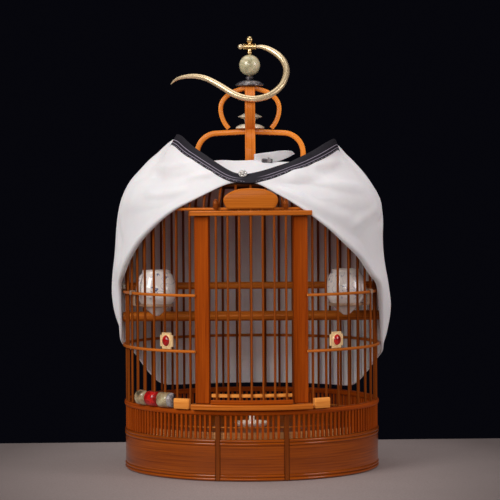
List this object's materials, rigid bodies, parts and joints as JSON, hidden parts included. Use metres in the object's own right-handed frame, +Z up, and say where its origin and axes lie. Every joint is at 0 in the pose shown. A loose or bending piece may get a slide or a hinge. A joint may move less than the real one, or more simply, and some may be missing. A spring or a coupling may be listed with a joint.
{
  "type": "bird cage",
  "caption": "Round bamboo bird cage with a lifting barred door, lantern handle, swivelling folding hook, porcelain cups and a turned-back cloth cover.",
  "frame": {"origin": "centre of the flat underside of the base, where the cage stands", "axes": "+Z up along the cage's axis, -Y towards the door, +X to the right of someone who faces the door"},
  "size_m": [0.3644, 0.3485, 0.5573],
  "materials": {
    "bamboo": "varnished",
    "bamboo_pale": "varnished",
    "bamboo_dark": "varnished",
    "cloth": "matte",
    "binding": "matte",
    "brass": "polished",
    "silver": "satin",
    "jade": "polished stone",
    "dark_stone": "polished stone",
    "red_stone": "polished stone",
    "porcelain": "glazed",
    "bone": "satin",
    "gilt": "satin"
  },
  "bodies": {
    "cage": {"arch_back": "bamboo", "arch_bolt": "brass", "arch_front": "bamboo", "arch_side": "bamboo", "base_band": "bamboo", "base_front_panel": "bamboo", "base_rib_left": "bamboo_dark", "base_rib_right": "bamboo_dark", "bottom_board": "bamboo_dark", "clasp": "silver", "cover_band": "binding", "cover_cloth": "cloth", "cup_hook_left": "brass", "cup_hook_right": "brass", "door_post_left": "bamboo", "door_post_right": "bamboo", "end_block_left": "bamboo_pale", "end_block_right": "bamboo_pale", "floor_dish": "porcelain", "hoop_high": "bamboo", "hoop_low": "bamboo", "hoop_top": "bamboo", "jade_bead_inner": "jade", "jade_bead_outer": "jade", "lantern_back": "bamboo", "lantern_front": "bamboo", "lantern_side": "bamboo", "lintel": "bamboo_pale", "lower_bead": "jade", "lower_disc": "jade", "main_ring": "bamboo", "perch": "bamboo", "red_bead": "red_stone", "red_stone_left": "red_stone", "red_stone_right": "red_stone", "rod_cap_left": "bone", "rod_cap_right": "bone", "roof": "bamboo", "sill": "bamboo", "stone_plate_left": "gilt", "stone_plate_right": "gilt", "tray": "bamboo", "upper_disc": "dark_stone", "upper_rod": "bamboo", "wall_bars": "bamboo"},
    "door": {"door_rail": "bamboo", "door_inner_rail": "bamboo_pale", "door_plaque": "bamboo_pale", "door_bar_1": "bamboo", "door_bar_2": "bamboo", "door_bar_3": "bamboo", "door_bar_4": "bamboo", "door_bar_5": "bamboo", "door_bar_6": "bamboo", "door_bar_7": "bamboo"},
    "hook_swivel": {"hook_stem": "brass", "jade_ball": "jade"},
    "hook": {"hook": "brass"},
    "left_cup": {"cup_left": "porcelain"},
    "right_cup": {"cup_right": "porcelain"}
  },
  "joints": [
    {"name": "door_slide", "type": "slide", "parent": "cage", "child": "door", "axis": [0, 0, 1], "range_m": [0, 0.2]},
    {"name": "hook_swivel", "type": "hinge", "parent": "cage", "child": "hook_swivel", "pos_m": [0, 0, 0.4863], "axis": [0, 0, 1], "continuous": true},
    {"name": "hook_fold", "type": "hinge", "parent": "hook_swivel", "child": "hook", "pos_m": [0, 0, 0.5438], "axis": [-1, 0, 0], "range_deg": [0, 295]},
    {"name": "left_cup_lift", "type": "slide", "parent": "cage", "child": "left_cup", "axis": [0, 0, 1], "range_m": [0, 0.06]},
    {"name": "right_cup_lift", "type": "slide", "parent": "cage", "child": "right_cup", "axis": [0, 0, 1], "range_m": [0, 0.06]}
  ]
}
